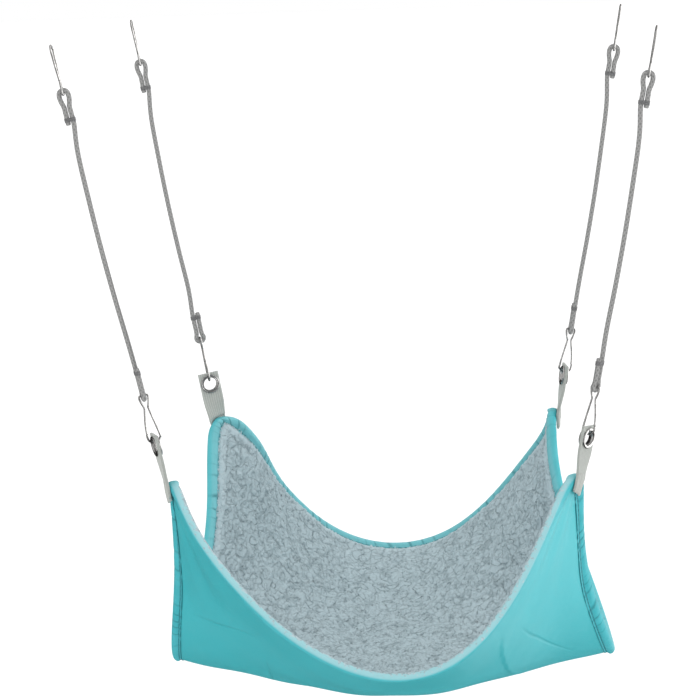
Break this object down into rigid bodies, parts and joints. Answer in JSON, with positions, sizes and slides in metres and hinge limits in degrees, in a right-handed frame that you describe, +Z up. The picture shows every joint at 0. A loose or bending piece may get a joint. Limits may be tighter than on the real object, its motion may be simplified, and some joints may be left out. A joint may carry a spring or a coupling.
{
  "type": "small pet hammock",
  "caption": "Square plush-lined cloth hammock for a small pet, slung by a looped cord with a wire snap hook at each end from an eyeleted webbing tab at each corner.",
  "frame": {"origin": "the middle of the four hanging points, at the height where the insides of the upper hooks' bends sit on the cage bars", "axes": "+Z up, -Y the front that the picture shows, +X to the right seen from the front"},
  "size_m": [0.2876, 0.2898, 0.3387],
  "materials": {
    "turquoise_polyester": "smooth woven polyester with a slight sheen",
    "turquoise_tape": "folded woven tape, one row of stitches",
    "grey_plush": "short curly plush, matt",
    "grey_webbing": "ribbed woven webbing, matt",
    "grey_cord": "round braided cord, matt",
    "dark_thread": "sewing thread",
    "plated_steel": "bright nickel plating"
  },
  "bodies": {
    "upper_hooks": {"upper_hook_front_left": "plated_steel", "upper_hook_front_right": "plated_steel", "upper_hook_back_left": "plated_steel", "upper_hook_back_right": "plated_steel"},
    "cord_front_left": {"cord_front_left": "grey_cord", "upper_stitching_front_left": "dark_thread", "lower_stitching_front_left": "dark_thread", "lower_hook_front_left": "plated_steel"},
    "cord_front_right": {"cord_front_right": "grey_cord", "upper_stitching_front_right": "dark_thread", "lower_stitching_front_right": "dark_thread", "lower_hook_front_right": "plated_steel"},
    "cord_back_left": {"cord_back_left": "grey_cord", "upper_stitching_back_left": "dark_thread", "lower_stitching_back_left": "dark_thread", "lower_hook_back_left": "plated_steel"},
    "cord_back_right": {"cord_back_right": "grey_cord", "upper_stitching_back_right": "dark_thread", "lower_stitching_back_right": "dark_thread", "lower_hook_back_right": "plated_steel"},
    "sheet": {"outer_fabric": "turquoise_polyester", "plush_lining": "grey_plush", "edge_binding": "turquoise_tape", "tab_front_left": "grey_webbing", "tab_front_right": "grey_webbing", "tab_back_left": "grey_webbing", "tab_back_right": "grey_webbing", "eyelet_front_left": "plated_steel", "eyelet_front_right": "plated_steel", "eyelet_back_left": "plated_steel", "eyelet_back_right": "plated_steel", "eyelet_washer_front_left": "plated_steel", "eyelet_washer_front_right": "plated_steel", "eyelet_washer_back_left": "plated_steel", "eyelet_washer_back_right": "plated_steel"},
    "upper_gate_front_left": {"upper_gate_front_left": "plated_steel"},
    "upper_gate_front_right": {"upper_gate_front_right": "plated_steel"},
    "upper_gate_back_left": {"upper_gate_back_left": "plated_steel"},
    "upper_gate_back_right": {"upper_gate_back_right": "plated_steel"},
    "lower_gate_front_left": {"lower_gate_front_left": "plated_steel"},
    "lower_gate_front_right": {"lower_gate_front_right": "plated_steel"},
    "lower_gate_back_left": {"lower_gate_back_left": "plated_steel"},
    "lower_gate_back_right": {"lower_gate_back_right": "plated_steel"}
  },
  "joints": [
    {"name": "swing_front_left", "type": "hinge", "parent": "upper_hooks", "child": "cord_front_left", "pos_m": [-0.14114, -0.0781, -0.02095], "axis": [1, 0, 0], "range_deg": [-15, 15]},
    {"name": "swing_front_right", "type": "hinge", "parent": "upper_hooks", "child": "cord_front_right", "pos_m": [0.13697, -0.07876, -0.02104], "axis": [1, 0, 0], "range_deg": [-15, 15]},
    {"name": "swing_back_left", "type": "hinge", "parent": "upper_hooks", "child": "cord_back_left", "pos_m": [-0.12466, 0.07855, -0.02111], "axis": [1, 0, 0], "range_deg": [-15, 15]},
    {"name": "swing_back_right", "type": "hinge", "parent": "upper_hooks", "child": "cord_back_right", "pos_m": [0.12655, 0.07625, -0.02109], "axis": [1, 0, 0], "range_deg": [-15, 15]},
    {"name": "sheet_level", "type": "hinge", "parent": "cord_front_left", "child": "sheet", "pos_m": [-0.10588, -0.0781, -0.19042], "axis": [1, 0, 0], "range_deg": [-15, 15]},
    {"name": "open_upper_front_left", "type": "hinge", "parent": "upper_hooks", "child": "upper_gate_front_left", "pos_m": [-0.14211, -0.0792, -0.0163], "axis": [-0.979, 0, -0.2037], "range_deg": [0, 14], "stiffness_Nm_per_rad": 0.05},
    {"name": "open_upper_front_right", "type": "hinge", "parent": "upper_hooks", "child": "upper_gate_front_right", "pos_m": [0.13784, -0.07985, -0.01637], "axis": [-0.9831, 0, 0.1831], "range_deg": [0, 14], "stiffness_Nm_per_rad": 0.05},
    {"name": "open_upper_back_left", "type": "hinge", "parent": "upper_hooks", "child": "upper_gate_back_left", "pos_m": [-0.12544, 0.07965, -0.01642], "axis": [0.9863, 0, 0.1648], "range_deg": [0, 14], "stiffness_Nm_per_rad": 0.05},
    {"name": "open_upper_back_right", "type": "hinge", "parent": "upper_hooks", "child": "upper_gate_back_right", "pos_m": [0.12736, 0.07735, -0.01641], "axis": [0.9854, 0, -0.1703], "range_deg": [0, 14], "stiffness_Nm_per_rad": 0.05},
    {"name": "open_lower_front_left", "type": "hinge", "parent": "cord_front_left", "child": "lower_gate_front_left", "pos_m": [-0.10974, -0.07847, -0.17697], "axis": [0.3348, -0.9397, 0.0697], "range_deg": [0, 14], "stiffness_Nm_per_rad": 0.05},
    {"name": "open_lower_front_right", "type": "hinge", "parent": "cord_front_right", "child": "lower_gate_front_right", "pos_m": [0.10872, -0.07939, -0.17766], "axis": [0.5639, 0.8192, -0.105], "range_deg": [0, 14], "stiffness_Nm_per_rad": 0.05},
    {"name": "open_lower_back_left", "type": "hinge", "parent": "cord_back_left", "child": "lower_gate_back_left", "pos_m": [-0.09871, 0.07961, -0.17813], "axis": [-0.9527, -0.2588, -0.1592], "range_deg": [0, 14], "stiffness_Nm_per_rad": 0.05},
    {"name": "open_lower_back_right", "type": "hinge", "parent": "cord_back_right", "child": "lower_gate_back_right", "pos_m": [0.10052, 0.07644, -0.1781], "axis": [-0.1711, 0.9848, 0.0296], "range_deg": [0, 14], "stiffness_Nm_per_rad": 0.05}
  ],
  "couplings": [
    {"joint": "swing_front_right", "follows": "swing_front_left", "ratio": 1},
    {"joint": "swing_back_left", "follows": "swing_front_left", "ratio": 1},
    {"joint": "swing_back_right", "follows": "swing_front_left", "ratio": 1},
    {"joint": "sheet_level", "follows": "swing_front_left", "ratio": -1}
  ]
}
